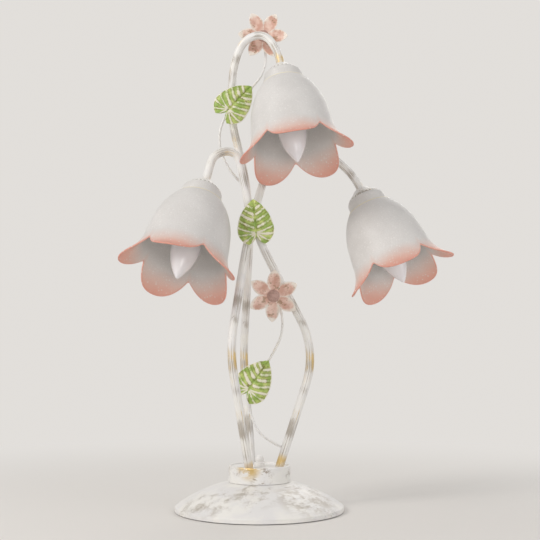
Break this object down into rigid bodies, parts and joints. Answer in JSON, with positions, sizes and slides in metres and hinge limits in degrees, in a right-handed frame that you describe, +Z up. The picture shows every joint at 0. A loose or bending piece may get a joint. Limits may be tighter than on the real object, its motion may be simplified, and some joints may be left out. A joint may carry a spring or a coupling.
{
  "type": "table lamp",
  "caption": "Table lamp with bent enamelled stems rising from a domed base, tulip glass shades with flared petals, candle bulbs, and sheet-metal leaves and flowers on wire vines.",
  "frame": {"origin": "centre of the felt face that the lamp stands on", "axes": "+Z up along the lamp, -Y towards the front, +X to the right seen from the front"},
  "size_m": [0.3942, 0.2467, 0.6115],
  "materials": {
    "cream_enamel": "ivory enamel, dry-brushed with gold and grey-brown",
    "cast_iron": "rough black casting",
    "zinc_steel": "zinc plated",
    "grey_felt": "dark grey pressed felt",
    "white_nylon": "moulded",
    "white_rubber": "soft, matt",
    "pvc_lead": "extruded PVC sheath",
    "white_bakelite": "moulded thermoset",
    "brass": "bright",
    "blush_glass": "satin frosted glass, blushed coral at the petal edges",
    "opal_glass": "glossy opal",
    "nickel": "nickel plated",
    "black_glass": "fused black glass",
    "green_enamel": "leaf green enamel, cream dry-brushed veins",
    "rose_enamel": "dusty pink enamel, cream dry-brushed tips"
  },
  "bodies": {
    "root": {"base_dome": "cream_enamel", "collar": "cream_enamel", "finial_nut": "cream_enamel", "finial_washer": "cream_enamel", "stem_top": "cream_enamel", "stem_left": "cream_enamel", "stem_right": "cream_enamel", "vine_upper": "cream_enamel", "vine_lower": "cream_enamel", "cap_top": "cream_enamel", "cap_left": "cream_enamel", "cap_right": "cream_enamel", "base_weight": "cast_iron", "base_plate": "zinc_steel", "stud": "zinc_steel", "stud_nut": "zinc_steel", "plate_screws": "zinc_steel", "earth_screw": "zinc_steel", "stem_nuts": "zinc_steel", "cap_nut_top": "zinc_steel", "cap_nut_left": "zinc_steel", "cap_nut_right": "zinc_steel", "felt_pad": "grey_felt", "terminal_block": "white_nylon", "cord_grommet": "white_rubber", "lead_top": "pvc_lead", "lead_left": "pvc_lead", "lead_right": "pvc_lead", "holder_top": "white_bakelite", "holder_left": "white_bakelite", "holder_right": "white_bakelite", "holder_shell_top": "brass", "holder_shell_left": "brass", "holder_shell_right": "brass", "holder_contact_top": "brass", "holder_contact_left": "brass", "holder_contact_right": "brass", "leaf_top": "green_enamel", "leaf_middle": "green_enamel", "leaf_bottom": "green_enamel", "flower_top": "rose_enamel", "flower_lower": "rose_enamel", "flower_button_top": "rose_enamel", "flower_button_lower": "rose_enamel"},
    "top_bulb": {"bulb_glass_top": "opal_glass", "bulb_cap_top": "nickel", "bulb_tip_top": "black_glass"},
    "top_ring": {"shade_ring_top": "white_bakelite"},
    "top_shade": {"shade_top": "blush_glass"},
    "left_bulb": {"bulb_glass_left": "opal_glass", "bulb_cap_left": "nickel", "bulb_tip_left": "black_glass"},
    "left_ring": {"shade_ring_left": "white_bakelite"},
    "left_shade": {"shade_left": "blush_glass"},
    "right_bulb": {"bulb_glass_right": "opal_glass", "bulb_cap_right": "nickel", "bulb_tip_right": "black_glass"},
    "right_ring": {"shade_ring_right": "white_bakelite"},
    "right_shade": {"shade_right": "blush_glass"}
  },
  "joints": [
    {"name": "top_bulb_out", "type": "slide", "parent": "root", "child": "top_bulb", "axis": [0.1443, -0.2714, -0.9516], "range_m": [0, 0.1]},
    {"name": "top_ring_turn", "type": "hinge", "parent": "root", "child": "top_ring", "pos_m": [0.03, -0.018, 0.509], "axis": [0.1443, -0.2714, -0.9516], "continuous": true},
    {"name": "top_shade_turn", "type": "hinge", "parent": "root", "child": "top_shade", "pos_m": [0.03, -0.018, 0.509], "axis": [0.1443, -0.2714, -0.9516], "continuous": true},
    {"name": "left_bulb_out", "type": "slide", "parent": "root", "child": "left_bulb", "axis": [-0.2068, -0.3989, -0.8934], "range_m": [0, 0.1]},
    {"name": "left_ring_turn", "type": "hinge", "parent": "root", "child": "left_ring", "pos_m": [-0.0704, -0.0434, 0.3622], "axis": [-0.2068, -0.3989, -0.8934], "continuous": true},
    {"name": "left_shade_turn", "type": "hinge", "parent": "root", "child": "left_shade", "pos_m": [-0.0704, -0.0434, 0.3622], "axis": [-0.2068, -0.3989, -0.8934], "continuous": true},
    {"name": "right_bulb_out", "type": "slide", "parent": "root", "child": "right_bulb", "axis": [0.3647, -0.2405, -0.8996], "range_m": [0, 0.1]},
    {"name": "right_ring_turn", "type": "hinge", "parent": "root", "child": "right_ring", "pos_m": [0.139, 0.0405, 0.3665], "axis": [0.3647, -0.2405, -0.8996], "continuous": true},
    {"name": "right_shade_turn", "type": "hinge", "parent": "root", "child": "right_shade", "pos_m": [0.139, 0.0405, 0.3665], "axis": [0.3647, -0.2405, -0.8996], "continuous": true}
  ]
}
